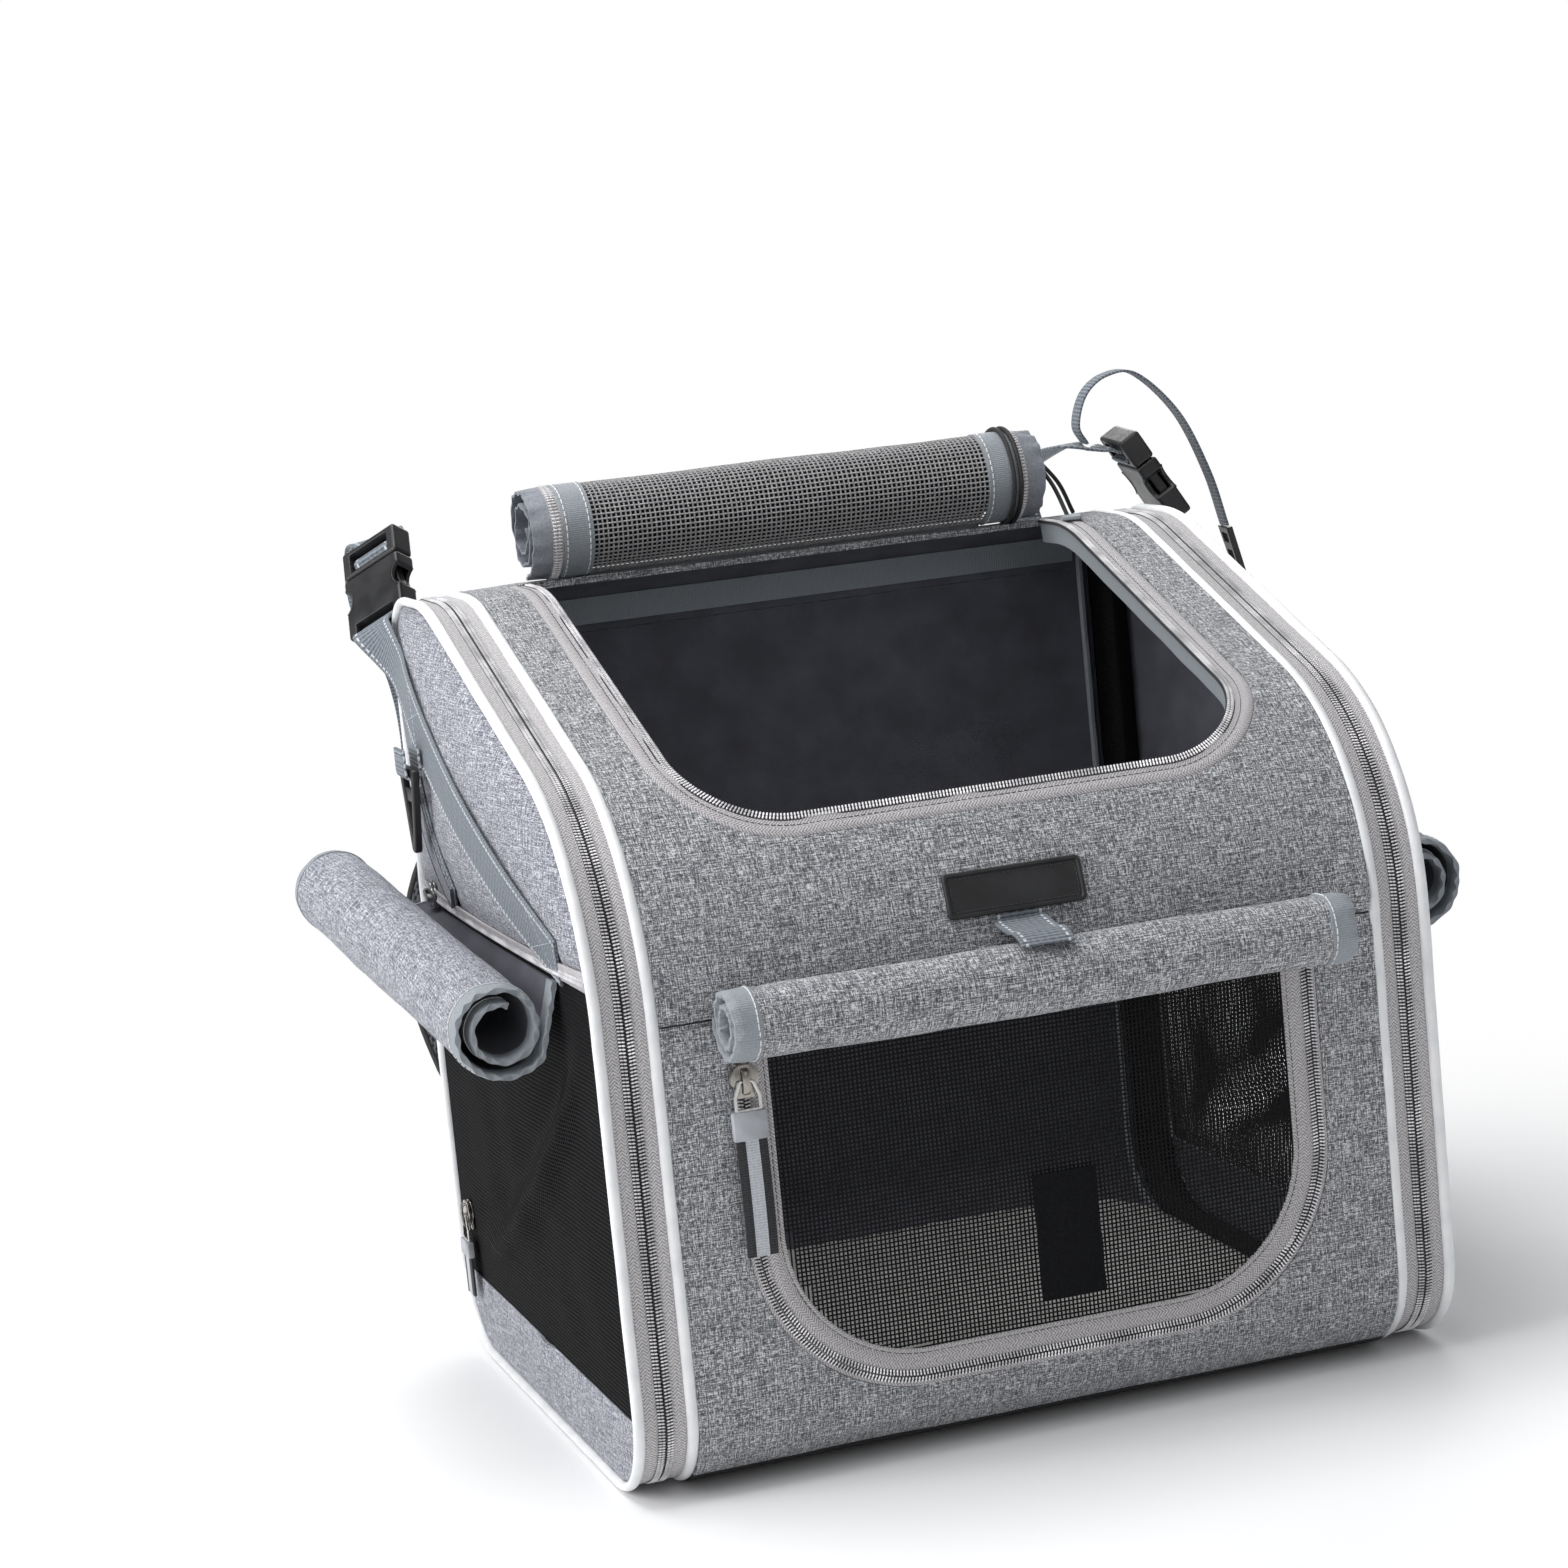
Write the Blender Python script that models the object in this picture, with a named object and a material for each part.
import math

import bmesh
import bpy
from mathutils import Matrix, Vector

# Soft-sided pet basket for a handlebar. The origin is at the middle of the base, on the
# surface that it stands on. The front panel faces -Y, +X is the right side seen from the
# front, and +Z is up. Every length is in metres.

# Body
body_width = 0.400          # over both outer pipings
body_depth = 0.317          # front panel to back panel
body_height = 0.385
knee_height = 0.294         # where front and slope would meet without the rounding
seam_height = 0.214         # seam between lower front and upper panel
flat_top_length = 0.0745    # from where slope and flat top would meet to the back panel
front_base_radius = 0.044
rear_base_radius = 0.046
slope_radius = 0.100
rear_top_radius = 0.031
wall = 0.003                # quilted fabric, foam and lining together
fit_gap = 0.0003            # between pieces that touch
flatness = 0.000002         # a face further out of flat than this is split
rounding_step = math.radians(15)
cut_over = 0.010            # overrun of every straight cutter
shallow_cut = 0.0016        # overrun of the cutter that follows the body's rounding
base_wrap_share = 0.62      # how far round the lower corners the bottom panel reaches

# Rims: piping, zip tape, coil, zip tape, piping
rim_width = 0.0290          # inner piping to outer piping, over both
rim_lift = 0.0013           # rims stand clear of the surface by this
piping_radius = 0.0021
piping_inset = 0.0013       # centre of the piping below the outline
tape_thickness = 0.0012
tape_inset = 0.0016
coil_half_width = 0.0040
coil_height = 0.0013
coil_slope_share = 0.35      # how much of the coil's half width is its slope
hoop_radius = 0.0014
gusset_thickness = 0.0008
gusset_fold_depth = 0.0060

# Doorway and its mesh door
doorway_half_width = 0.1405
doorway_bottom = 0.034
doorway_top = 0.1975
doorway_radius = 0.080
doorway_tape_width = 0.0042
door_tape_width = 0.0190
door_inset = 0.0004
door_net_thickness = 0.0010
door_net_strand = 0.0022
door_net_columns = 12
door_net_rows = 8
hook_patch_width = 0.031
hook_patch_height = 0.071
hook_patch_left = -0.006
hook_patch_bottom_gap = 0.0040
hook_patch_thickness = 0.0014

# Top opening and its rolled mesh cover
opening_half_width = 0.1485
opening_front_height = 0.284
opening_rear_inset = 0.0395  # from the back panel
opening_radius = 0.060
opening_tape_width = 0.0105
opening_tape_inset = 0.0004

# Rolled covers
top_roll_radius = 0.0250
top_roll_half_length = 0.1360
top_roll_pitch = 0.0062
top_roll_sheet = 0.0020
front_roll_radius = 0.0185
front_roll_half_length = 0.1470
front_roll_pitch = 0.0052
front_roll_sheet = 0.0032
front_roll_rise = 0.0015    # axis above the seam
side_roll_radius = 0.0245
side_roll_pitch = 0.0070
side_roll_sheet = 0.0030
# Ends of the side rolls' axis: out from the side plane, behind the front or the back panel,
# above the window's top
side_roll_front = (0.0280, 0.0585, -0.0195)
side_roll_rear = (0.0460, -0.0105, 0.0125)
front_roll_turns = 2.1
top_roll_turns = 2.3
side_roll_turns = 1.7
top_roll_rear = 0.0010      # the roll's axis stands this far in front of the rear rounding
side_roll_start_degrees = -40
flap_steps = 3
roll_step = math.radians(20)
seam_drop_share = 0.8       # how far the flap's seam lies under the window's top
roll_tie_width = 0.006
roll_tie_thickness = 0.0016
tie_share = 0.88            # the tie's place along half of the top roll
tie_gap = 0.0005
tie_degrees = [-60, -30, 10, 50, 90, 130, 170, 205, 232]

# Bare patch and roll tab
patch_width = 0.066
patch_height = 0.0205
patch_thickness = 0.0024
patch_border = 0.0022
patch_recess = 0.0008
border_slope_share = 1.15   # where the border's inner slope ends, from its outer edge
patch_bottom_height = 0.240
tab_width = 0.032
tab_thickness = 0.0010
tab_degrees = [62, 78, 94, 110, 125]

# Side panels
side_sheet = 0.0020
panel_rows = 11             # rows close up where the outline curves
panel_row_power = 1.5
strip_rows = 5
strip_row_power = 1.6
side_columns = 8
side_bulge = 0.0130
bulge_power_share = 0.7     # below 1 the swelling starts more steeply at the edges
bulge_lean_share = 0.8      # below 1 the swelling is fullest in its lower half
window_bottom = 0.040
window_drop = 0.1535        # the window's top, below the flat top
side_net_thickness = 0.0010
side_net_strand = 0.0024
side_net_columns = 10
side_net_rows = 6
net_bulge = 0.0030

# Base
board_thickness = 0.0040
board_inset = 0.0060
board_rounding = 0.0008
board_end_gap = 0.0020
mat_thickness = 0.0180
mat_crown = 0.0040
mat_inset = 0.0120
mat_end_gap = 0.0010
mat_edge_shares = [(0.0, 0.97), (0.25, 1.0), (0.65, 1.0), (0.88, 0.975), (1.0, 0.93)]
mat_crown_shares = [0.72, 0.45, 0.18]
corner_power_share = 0.32

# Webbing and hardware
webbing_width = 0.025
webbing_thickness = 0.0014
# Line of the webbing over the padded side: share of half the depth, and below the flat top
arm_line_shares = [-0.7445, -0.3785, 0.0, 0.3785, 0.6309]
arm_line_drops = [0.1440, 0.1182, 0.0915, 0.0647, 0.0465]
arm_across_shares = (-0.41, 0.91)
arm_clear = 0.0012          # the webbing's edges above the padded panel, whose middle swells
# Places near the rear top corner are given out from the side plane, behind the back panel and
# above the flat top. These are the edges of the webbing above the panel, inner edge first
arm_rise = {
    -1: [((0.0062, -0.0385, -0.0250), (0.0080, -0.0195, -0.0430)),
         ((0.0055, -0.0195, -0.0155), (0.0115, -0.0035, -0.0340))],
    1: [((0.0075, -0.0405, -0.0290), (0.0080, -0.0185, -0.0480)),
        ((0.0120, -0.0225, -0.0250), (0.0150, 0.0005, -0.0350)),
        ((0.0280, -0.0025, -0.0240), (0.0300, 0.0225, -0.0290))],
}
ring_bar = 0.0036
ring_width = 0.0300
ring_drop = 0.0400
ring_below = 0.0770         # the ring's top bar, below the flat top
ring_place_share = 0.4543   # its middle, as a share of half the depth
ring_clear = 0.0015         # the ring's loop above the webbing it is sewn to
leg_share = 1.25            # the ring's legs against its bar
# Rows of the ring: how far down it, and its half width there
ring_row_shares = [(0.0, 1.0), (0.085, 1.0), (0.35, 0.83), (0.60, 0.66), (0.82, 0.50), (0.93, 0.36),
             (1.0, 0.18)]
loop_width = 0.0195
loop_rise = 0.0110
loop_degrees = [180, 225, 270, 315, 360]
buckle_width = 0.0380
buckle_thickness = 0.0125
female_length = 0.0360
male_base_length = 0.0170
prong_length = 0.0240
prong_width = 0.0056
prong_thickness = 0.0050
guide_width = 0.0060
buckle_wall = 0.0022
buckle_rounding = 0.0016
end_bar = 0.0036
bar_half = 0.0018           # half thickness of the bars that webbing goes round
slot_height = 0.0036
ladder_start = 0.0030
ladder_bar = 0.0036
wrap_radius = 0.0036        # middle of the webbing round a bar
wrap_degrees = [0, 45, 90, 135, 180, 225]
leg_place = {-1: (0.0062, 0.0060), 1: (0.0020, 0.0080)}
ladder_degrees = [-80, -125, -180, -235, -280]
tail_reach = 0.0070
ladder_lead = [(0.0066, 0.0110), (0.0102, 0.0162)]
web_room = 0.0132           # half width of the slots that the webbing passes through
thumb_out = 0.0028
thumb_down = 0.0135
thumb_radius = 0.0072
disc_sides = 16
fork_root_share = 0.6
guide_shares = [(-0.6, 0.88), (0.6, 0.88), (1.0, 0.80), (1.0, 0.06)]
prong_shares = [(1.15, 0.06), (1.15, 0.50), (1.00, 0.62), (0.75, 0.97), (0.40, 1.0), (0.10, 0.93),
                (0.0, 0.71), (0.25, 0.53), (0.40, 0.25), (0.25, 0.0)]
buckle_place = {-1: (-0.0017, 0.0321, 0.0101), 1: (0.0200, 0.0195, 0.0200)}
buckle_width_shares = {-1: (0.618, -0.659, 0.428), 1: (0.10, 1.0, 0.05)}
buckle_length_shares = {-1: (0.139, 0.627, 0.765), 1: (-0.52, 0.0, 0.85)}
bar_loop_radius = 0.0190    # room for a handlebar and its grip tape
bar_place = (0.0755, 0.0010)
bar_degrees = [80, 45, 0, -45, -90]
bar_anchor = [(0.0240, -0.0390), (0.0065, -0.0540), (0.0006, -0.0690), (0.0004, -0.0820)]
# Edges of the handlebar webbing at the back, out from the side, inner edge first
bar_span = {-1: (-0.0219, 0.0031), 1: (-0.0330, -0.0080)}
bar_lead = {
    -1: [((-0.0219, 0.0575, 0.0290), (0.0026, 0.0615, 0.0200))],
    1: [((-0.0030, 0.0065, 0.0275), (-0.0030, 0.0315, 0.0275)),
        ((-0.0330, 0.0065, 0.0325), (-0.0080, 0.0315, 0.0315))],
}
tail_line = [(-0.0090, 0.0175, 0.0319), (-0.0140, 0.0160, 0.0420), (-0.0090, 0.0145, 0.0580),
             (0.0030, 0.0125, 0.0670), (0.0200, 0.0115, 0.0660), (0.0420, 0.0105, 0.0430),
             (0.0570, 0.0105, 0.0100), (0.0650, 0.0105, -0.0200)]
tail_across_shares = (0.15, 1, 0)
tail_width = 0.0150
clip_length = 0.0330
clip_width = 0.0165
clip_thickness = 0.0034
clip_gap = 0.0008
clip_end_share = 0.75
clip_across_shares = [0, 0.20, 0.80, 1]
clip_along_shares = [0, 0.10, 0.26, 0.40, 0.82, 1]

# Shoulder straps on the back
pad_width = 0.055
pad_thickness = 0.0100
pad_bow = 0.0380
# Rows from the top: out from the middle and height, then bow share and size share
shoulder_line = [(0.078, 0.335), (0.096, 0.318), (0.135, 0.278), (0.168, 0.225), (0.174, 0.180),
                 (0.168, 0.140), (0.160, 0.112), (0.160, 0.088), (0.160, 0.064), (0.160, 0.050)]
shoulder_shares = [(0.0, 0.80), (0.10, 0.95), (0.55, 1.0), (0.95, 1.0), (1.0, 1.0), (0.75, 0.90),
                   (0.40, 0.60), (0.14, 0.0), (0.03, 0.0), (0.0, 0.0)]
# Section of the pad, as shares of its half width and half thickness
pad_section_shares = [(-1, -0.3), (-0.8, -1), (0.8, -1), (1, -0.3), (1, 0.3), (0.8, 1), (-0.8, 1),
               (-1, 0.3)]
adjuster_height = 0.0030
adjuster_length = 0.0180
adjuster_width = 0.0320
adjuster_across_shares = [0, 0.1, 0.9, 1]
adjuster_along_shares = [0, 0.18, 0.38, 0.62, 0.82, 1]

# Zip sliders and pulls
slider_width = 0.0085
slider_length = 0.0120
slider_height = 0.0030
bridge_height = 0.0028
bridge_bar = 0.0009
slider_along_shares = [0, 0.16, 0.84, 1]
# Rows of the slider: how far up it, and its length and width there
slider_row_shares = [(0.0, 1.0, 1.0), (0.50, 1.0, 1.0), (0.54, 0.80, 0.24), (0.85, 0.66, 0.24),
               (1.0, 0.50, 0.24)]
pull_tag_length = 0.0130
pull_tag_width = 0.0072
pull_leg = 0.0021
pull_bar = 0.0010
block_width = 0.0160
block_length = 0.0120
block_thickness = 0.0035
short_block_share = 0.6
tag_hole_share = 0.62
ribbon_width = 0.0110
ribbon_length = 0.0520
ribbon_thickness = 0.0018
slider_place = 0.186
# Side sliders: share of half the depth, then height and ribbon length
side_slider_shares = {-1: 0.82, 1: -0.883}
side_slider_place = {-1: (0.0720, 0.0200), 1: (0.0980, 0.0400)}

# Derived sizes
half_depth = body_depth / 2
slope_end = half_depth - flat_top_length
opening_rear = half_depth - opening_rear_inset
window_top = body_height - window_drop
slope_turn = math.atan2(body_height - knee_height, slope_end + half_depth)
knee_turn = math.pi / 2 - slope_turn
knee_radius = (knee_height - seam_height) / math.tan(knee_turn / 2)
rim_outer = body_width / 2 - piping_radius
rim_inner = body_width / 2 - rim_width + piping_radius
panel_half = rim_inner - piping_radius - fit_gap
rim_middle = (rim_outer + rim_inner) / 2
side_plane = body_width / 2 - piping_radius
side_inset = piping_inset + piping_radius + fit_gap

for old in list(bpy.data.objects):
    bpy.data.objects.remove(old, do_unlink=True)


def share(fraction, low, high):
    """The length a fraction of the way from low to high."""
    return low + (high - low) * fraction


def paint(colour, roughness, metallic=0.0):
    return {"colour": colour, "roughness": roughness, "metallic": metallic}


heather = paint((0.30, 0.31, 0.33), 0.95)
side_heather = paint((0.31, 0.32, 0.37), 0.95)
black_fabric = paint((0.02, 0.02, 0.022), 0.9)
black_net = paint((0.015, 0.015, 0.017), 0.8)
reflective = paint((0.85, 0.86, 0.88), 0.4)
zip_tape = paint((0.33, 0.32, 0.31), 0.85)
steel_wire = paint((0.55, 0.55, 0.56), 0.35, 1.0)
board_grey = paint((0.10, 0.10, 0.10), 0.8)
fleece = paint((0.80, 0.79, 0.76), 1.0)
blue_webbing = paint((0.30, 0.35, 0.38), 0.8)
black_plastic = paint((0.02, 0.02, 0.022), 0.4)
rubber = paint((0.015, 0.015, 0.015), 0.55)
zinc = paint((0.70, 0.68, 0.63), 0.25, 1.0)
air_mesh = paint((0.09, 0.095, 0.10), 0.95)


def material_of(name, finish):
    material = bpy.data.materials.new(name)
    material.use_nodes = True
    shader = material.node_tree.nodes["Principled BSDF"]
    shader.inputs["Base Color"].default_value = (*finish["colour"], 1)
    shader.inputs["Roughness"].default_value = finish["roughness"]
    shader.inputs["Metallic"].default_value = finish["metallic"]
    return material


def place(name, mesh, finish, origin=(0, 0, 0), smooth_degrees=35):
    """An object for one sub-part, with its origin on its joint's axis."""
    mesh.transform(Matrix.Translation(-Vector(origin)))
    mesh.shade_smooth()
    mesh.set_sharp_from_angle(angle=math.radians(smooth_degrees))
    thing = bpy.data.objects.new(name, mesh)
    thing.location = origin
    bpy.context.collection.objects.link(thing)
    mesh.materials.append(material_of(name, finish))
    return thing


def finish_mesh(name, work):
    """The mesh of a closed form, with its warped faces split into flat ones."""
    bmesh.ops.recalc_face_normals(work, faces=work.faces)
    warped = []
    for face in work.faces:
        middle = face.calc_center_median()
        if any(abs((v.co - middle).dot(face.normal)) > flatness for v in face.verts):
            warped.append(face)
    bmesh.ops.triangulate(work, faces=warped)
    mesh = bpy.data.meshes.new(name)
    work.to_mesh(mesh)
    work.free()
    return mesh


def loft_mesh(name, rings, closed=False):
    """Quads between rings of equally many points. Open lofts get end caps."""
    work = bmesh.new()
    rows = [[work.verts.new(point) for point in ring] for ring in rings]
    count = len(rows[0])
    pairs = list(zip(rows, rows[1:]))
    if closed:
        pairs.append((rows[-1], rows[0]))
    for low, high in pairs:
        for k in range(count):
            n = (k + 1) % count
            work.faces.new((low[k], low[n], high[n], high[k]))
    if not closed:
        work.faces.new(list(reversed(rows[0])))
        work.faces.new(rows[-1])
    return finish_mesh(name, work)


def loft(name, rings, finish, closed=False, origin=(0, 0, 0)):
    return place(name, loft_mesh(name, rings, closed), finish, origin)


def grid_mesh(name, across, along, point, keep=None):
    """A sheet on a grid of shares. point gives the front and the back of each corner."""
    work = bmesh.new()
    keep = keep or (lambda i, j: True)
    cells = {(i, j) for i in range(len(across) - 1) for j in range(len(along) - 1) if keep(i, j)}
    made = {}

    def corner(i, j, back):
        if (i, j, back) not in made:
            made[i, j, back] = work.verts.new(point(across[i], along[j])[back])
        return made[i, j, back]

    for i, j in sorted(cells):
        ring = [(i, j), (i + 1, j), (i + 1, j + 1), (i, j + 1)]
        work.faces.new([corner(a, b, 0) for a, b in ring])
        work.faces.new([corner(a, b, 1) for a, b in reversed(ring)])
        beside = [(i, j - 1), (i + 1, j), (i, j + 1), (i - 1, j)]
        for k, other in enumerate(beside):
            if other not in cells:
                (a, b), (c, d) = ring[k], ring[(k + 1) % 4]
                work.faces.new((corner(a, b, 0), corner(a, b, 1), corner(c, d, 1), corner(c, d, 0)))
    return finish_mesh(name, work)


def even(count):
    return [k / count for k in range(count + 1)]


def net_lines(count, strand_share):
    """Shares at both edges of every strand of a net with count gaps."""
    pitch = (1 - strand_share) / count
    lines = []
    for k in range(count + 1):
        lines += [k * pitch, k * pitch + strand_share]
    return lines


def net_keep(i, j):
    return i % 2 == 0 or j % 2 == 0


def rounded_box(name, low, high, rounding, finish=None, segments=2, origin=(0, 0, 0)):
    work = bmesh.new()
    bmesh.ops.create_cube(work, size=1)
    size = [h - l for l, h in zip(low, high)]
    middle = [(l + h) / 2 for l, h in zip(low, high)]
    for vert in work.verts:
        vert.co = Vector([c * s + m for c, s, m in zip(vert.co, size, middle)])
    if rounding:
        bmesh.ops.bevel(work, geom=list(work.edges), offset=rounding, segments=segments,
                        profile=1 / 2, affect="EDGES")
    mesh = bpy.data.meshes.new(name)
    work.to_mesh(mesh)
    work.free()
    if finish is None:
        thing = bpy.data.objects.new(name, mesh)
        bpy.context.collection.objects.link(thing)
        return thing
    return place(name, mesh, finish, origin)


def combine(target, tool, operation):
    """A Boolean on target. The tool is only a guide and isn't part of the basket."""
    tool.hide_render = True
    tool.display_type = "WIRE"
    step = target.modifiers.new(tool.name, "BOOLEAN")
    step.operation = operation
    step.solver = "EXACT"
    step.object = tool


# Side outline: a clockwise run of rounded corners, seen from +X with +Y to the right


def corners(lift):
    return [
        (half_depth, lift, rear_base_radius),
        (-half_depth, lift, front_base_radius),
        (-half_depth, knee_height, knee_radius),
        (slope_end, body_height, slope_radius),
        (half_depth, body_height, rear_top_radius),
    ]


def arcs(lift=0.0):
    table = corners(lift)
    found = []
    for k, (y, z, radius) in enumerate(table):
        tip = Vector((y, z))
        back = (Vector(table[k - 1][:2]) - tip).normalized()
        ahead = (Vector(table[(k + 1) % len(table)][:2]) - tip).normalized()
        half = back.angle(ahead) / 2
        centre = tip + (back + ahead).normalized() * radius / math.sin(half)
        start = tip + back * radius / math.tan(half) - centre
        found.append((centre, radius, math.atan2(start.y, start.x), math.pi - 2 * half))
    return found


def on_arc(arc, fraction, inset):
    """Point, outward direction and forward direction on one rounded corner."""
    centre, radius, start, turn = arc
    angle = start - turn * fraction
    out = Vector((math.cos(angle), math.sin(angle)))
    return centre + out * (radius - inset), out, Vector((out.y, -out.x))


def stretch(first, last, inset=0.0, trim=0.0, lift=0.0):
    """Points of the outline from one (corner, fraction) to another."""
    turns = arcs(lift)
    found = []
    k = first[0]
    while True:
        low = first[1] if k == first[0] else 0.0
        high = last[1] if k == last[0] else 1.0
        arc = turns[k % len(turns)]
        steps = max(1, math.ceil(arc[3] * (high - low) / rounding_step))
        found += [on_arc(arc, share(n / steps, low, high), inset) for n in range(steps + 1)]
        if high == low:
            found.pop()
        if k == last[0]:
            break
        k += 1
    points = [point for point, out, ahead in found]
    points[0] = points[0] + found[0][2] * trim
    points[-1] = points[-1] - found[-1][2] * trim
    return points


def full_outline(inset, lift=rim_lift):
    return stretch((0, 0.0), (4, 1.0), inset, 0.0, lift)


def over_top(distance, inset):
    """Point and outward direction at a distance along the outline behind the seam."""
    turns = arcs()
    for k in (2, 3, 4):
        arc = turns[k]
        length = arc[1] * arc[3]
        if distance <= length or k == 4:
            point, out, ahead = on_arc(arc, min(distance / length, 1.0), inset)
            return point, out
        distance -= length
        end, out, ahead = on_arc(arc, 1.0, 0.0)
        straight = (on_arc(turns[k + 1], 0.0, 0.0)[0] - end).length
        if distance <= straight:
            return end + ahead * distance - out * inset, out
        distance -= straight


def band(name, first, last, finish):
    """A strip of the body's skin between two places on the outline."""
    outer = stretch(first, last, 0.0, fit_gap / 2)
    inner = stretch(first, last, wall, fit_gap / 2)
    half = panel_half
    rings = [[(-half, *o), (half, *o), (half, *i), (-half, *i)] for o, i in zip(outer, inner)]
    return loft(name, rings, finish)


def rim_ring(name, section, finish, side):
    """A closed ring along the outline, from a section of (x, inset) points."""
    lines = [(side * x, full_outline(inset)) for x, inset in section]
    rings = [[(x, *line[k]) for x, line in lines] for k in range(len(lines[0][1]))]
    return loft(name, rings, finish, True)


def circle_section(x, inset, radius, sides):
    turns = [math.tau * k / sides for k in range(sides)]
    return [(x + radius * math.cos(t), inset + radius * math.sin(t)) for t in turns]


def smooth_path(points, steps):
    """A smooth curve through hand-chosen points."""
    points = [Vector(p) for p in points]
    padded = [2 * points[0] - points[1]] + points + [2 * points[-1] - points[-2]]
    found = []
    for k in range(1, len(padded) - 2):
        a, b, c, d = padded[k - 1:k + 3]
        for n in range(steps):
            t = n / steps
            found.append(0.5 * ((2 * b) + (c - a) * t + (2 * a - 5 * b + 4 * c - d) * t ** 2
                                + (3 * b - a - 3 * c + d) * t ** 3))
    found.append(points[-1])
    return found


def strap(name, route, widths, width, thickness, finish, steps):
    """A flat strap along a route, with the direction of its width at each route point."""
    path = smooth_path(route, steps)
    turns = smooth_path(widths, steps)
    rings = []
    for k, middle in enumerate(path):
        ahead = (path[min(k + 1, len(path) - 1)] - path[max(k - 1, 0)]).normalized()
        across = (turns[k] - ahead * turns[k].dot(ahead)).normalized()
        out = ahead.cross(across)
        a = across * width / 2
        b = out * thickness / 2
        rings.append([middle - a - b, middle + a - b, middle + a + b, middle - a + b])
    return loft(name, rings, finish)


# Body panels


def make_body_panels():
    seam = (2, 0.0)
    front_wrap = (1, 1 - base_wrap_share)
    rear_wrap = (5, base_wrap_share)
    band("bottom_panel", (0, base_wrap_share), front_wrap, black_fabric)
    front = band("front_lower_panel", front_wrap, seam, heather)
    upper = band("upper_panel", seam, (4, 1.0), heather)
    band("back_panel", (4, 1.0), rear_wrap, heather)

    outline = u_outline(0.0, doorway_top)
    depth = (-half_depth - cut_over, -half_depth + wall + cut_over)
    rings = [[(x, y, z) for x, z in outline] for y in depth]
    cutter = bpy.data.objects.new("doorway_cutter", loft_mesh("doorway_cutter", rings))
    bpy.context.collection.objects.link(cutter)
    combine(front, cutter, "DIFFERENCE")

    rings = []
    for distance, half in opening_stations():
        low, out = over_top(distance, wall + shallow_cut)
        high, out = over_top(distance, -shallow_cut)
        rings.append([(-half, *low), (half, *low), (half, *high), (-half, *high)])
    cutter = bpy.data.objects.new("opening_cutter", loft_mesh("opening_cutter", rings))
    bpy.context.collection.objects.link(cutter)
    combine(upper, cutter, "DIFFERENCE")


def u_outline(inset, top, steps=6):
    """The doorway's U from top left round the bottom to top right, as (x, z)."""
    half = doorway_half_width - inset
    low = doorway_bottom + inset
    radius = doorway_radius - inset
    right = []
    for k in range(steps + 1):
        angle = math.pi / 2 * k / steps
        right.append((half - radius + radius * math.sin(angle),
                      low + radius - radius * math.cos(angle)))
    right.append((half, top))
    return [(-x, z) for x, z in reversed(right)] + right


def seam_to(height):
    """Distance along the knee's rounding from the seam up to a height."""
    centre, radius, start, turn = arcs()[2]
    return radius * math.asin((height - centre.y) / radius)


def opening_front():
    return seam_to(opening_front_height)


def opening_back():
    """Distance along the outline from the seam to the opening's rear edge."""
    turns = arcs()
    total = 0.0
    for k in (2, 3):
        end = on_arc(turns[k], 1.0, 0.0)[0]
        total += turns[k][1] * turns[k][3]
        if k == 2:
            total += (on_arc(turns[3], 0.0, 0.0)[0] - end).length
    return total + opening_rear - on_arc(turns[3], 1.0, 0.0)[0].x


def opening_half_at(distance, inset):
    """Half width of the opening's U at a distance along the outline."""
    radius = opening_radius - inset
    past = distance - opening_front() - inset
    half = opening_half_width - inset
    if past >= radius:
        return half
    return half - radius + math.sqrt(max(radius ** 2 - (radius - past) ** 2, 0.0))


def opening_stations(steps=8):
    """Distances and half widths that follow the opening's rounded front corners."""
    found = []
    for k in range(steps + 1):
        angle = math.pi / 2 * k / steps
        distance = opening_front() + opening_radius * (1 - math.cos(angle))
        found.append((distance, opening_half_at(distance, 0.0)))
    rest = opening_run(found[-1][0]) + [opening_back()]
    return found + [(d, opening_half_at(d, 0.0)) for d in rest]


def opening_run(start):
    """Distances of the bends along the opening's straight sides."""
    knee, slope = arcs()[2:4]
    top = opening_back() - (opening_rear - on_arc(slope, 1.0, 0.0)[0].x)
    first = top - slope[1] * slope[3]
    bends = [knee[1] * knee[3], first, (first + top) / 2, top]
    return [d for d in bends if d > start + fit_gap]


# Rims: pipings, zip halves, hoops and folded gussets


def zip_section(edge, inner_edge):
    """Tape with half of the coil on it. edge lies at the piping, inner_edge at the middle."""
    way = 1 if inner_edge > edge else -1
    coil = inner_edge - way * coil_half_width
    top = tape_inset - coil_height
    return [
        (edge, tape_inset + tape_thickness),
        (edge, tape_inset),
        (coil, tape_inset),
        (share(coil_slope_share, coil, inner_edge), top),
        (inner_edge, top),
        (inner_edge, tape_inset + tape_thickness),
    ]


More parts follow.
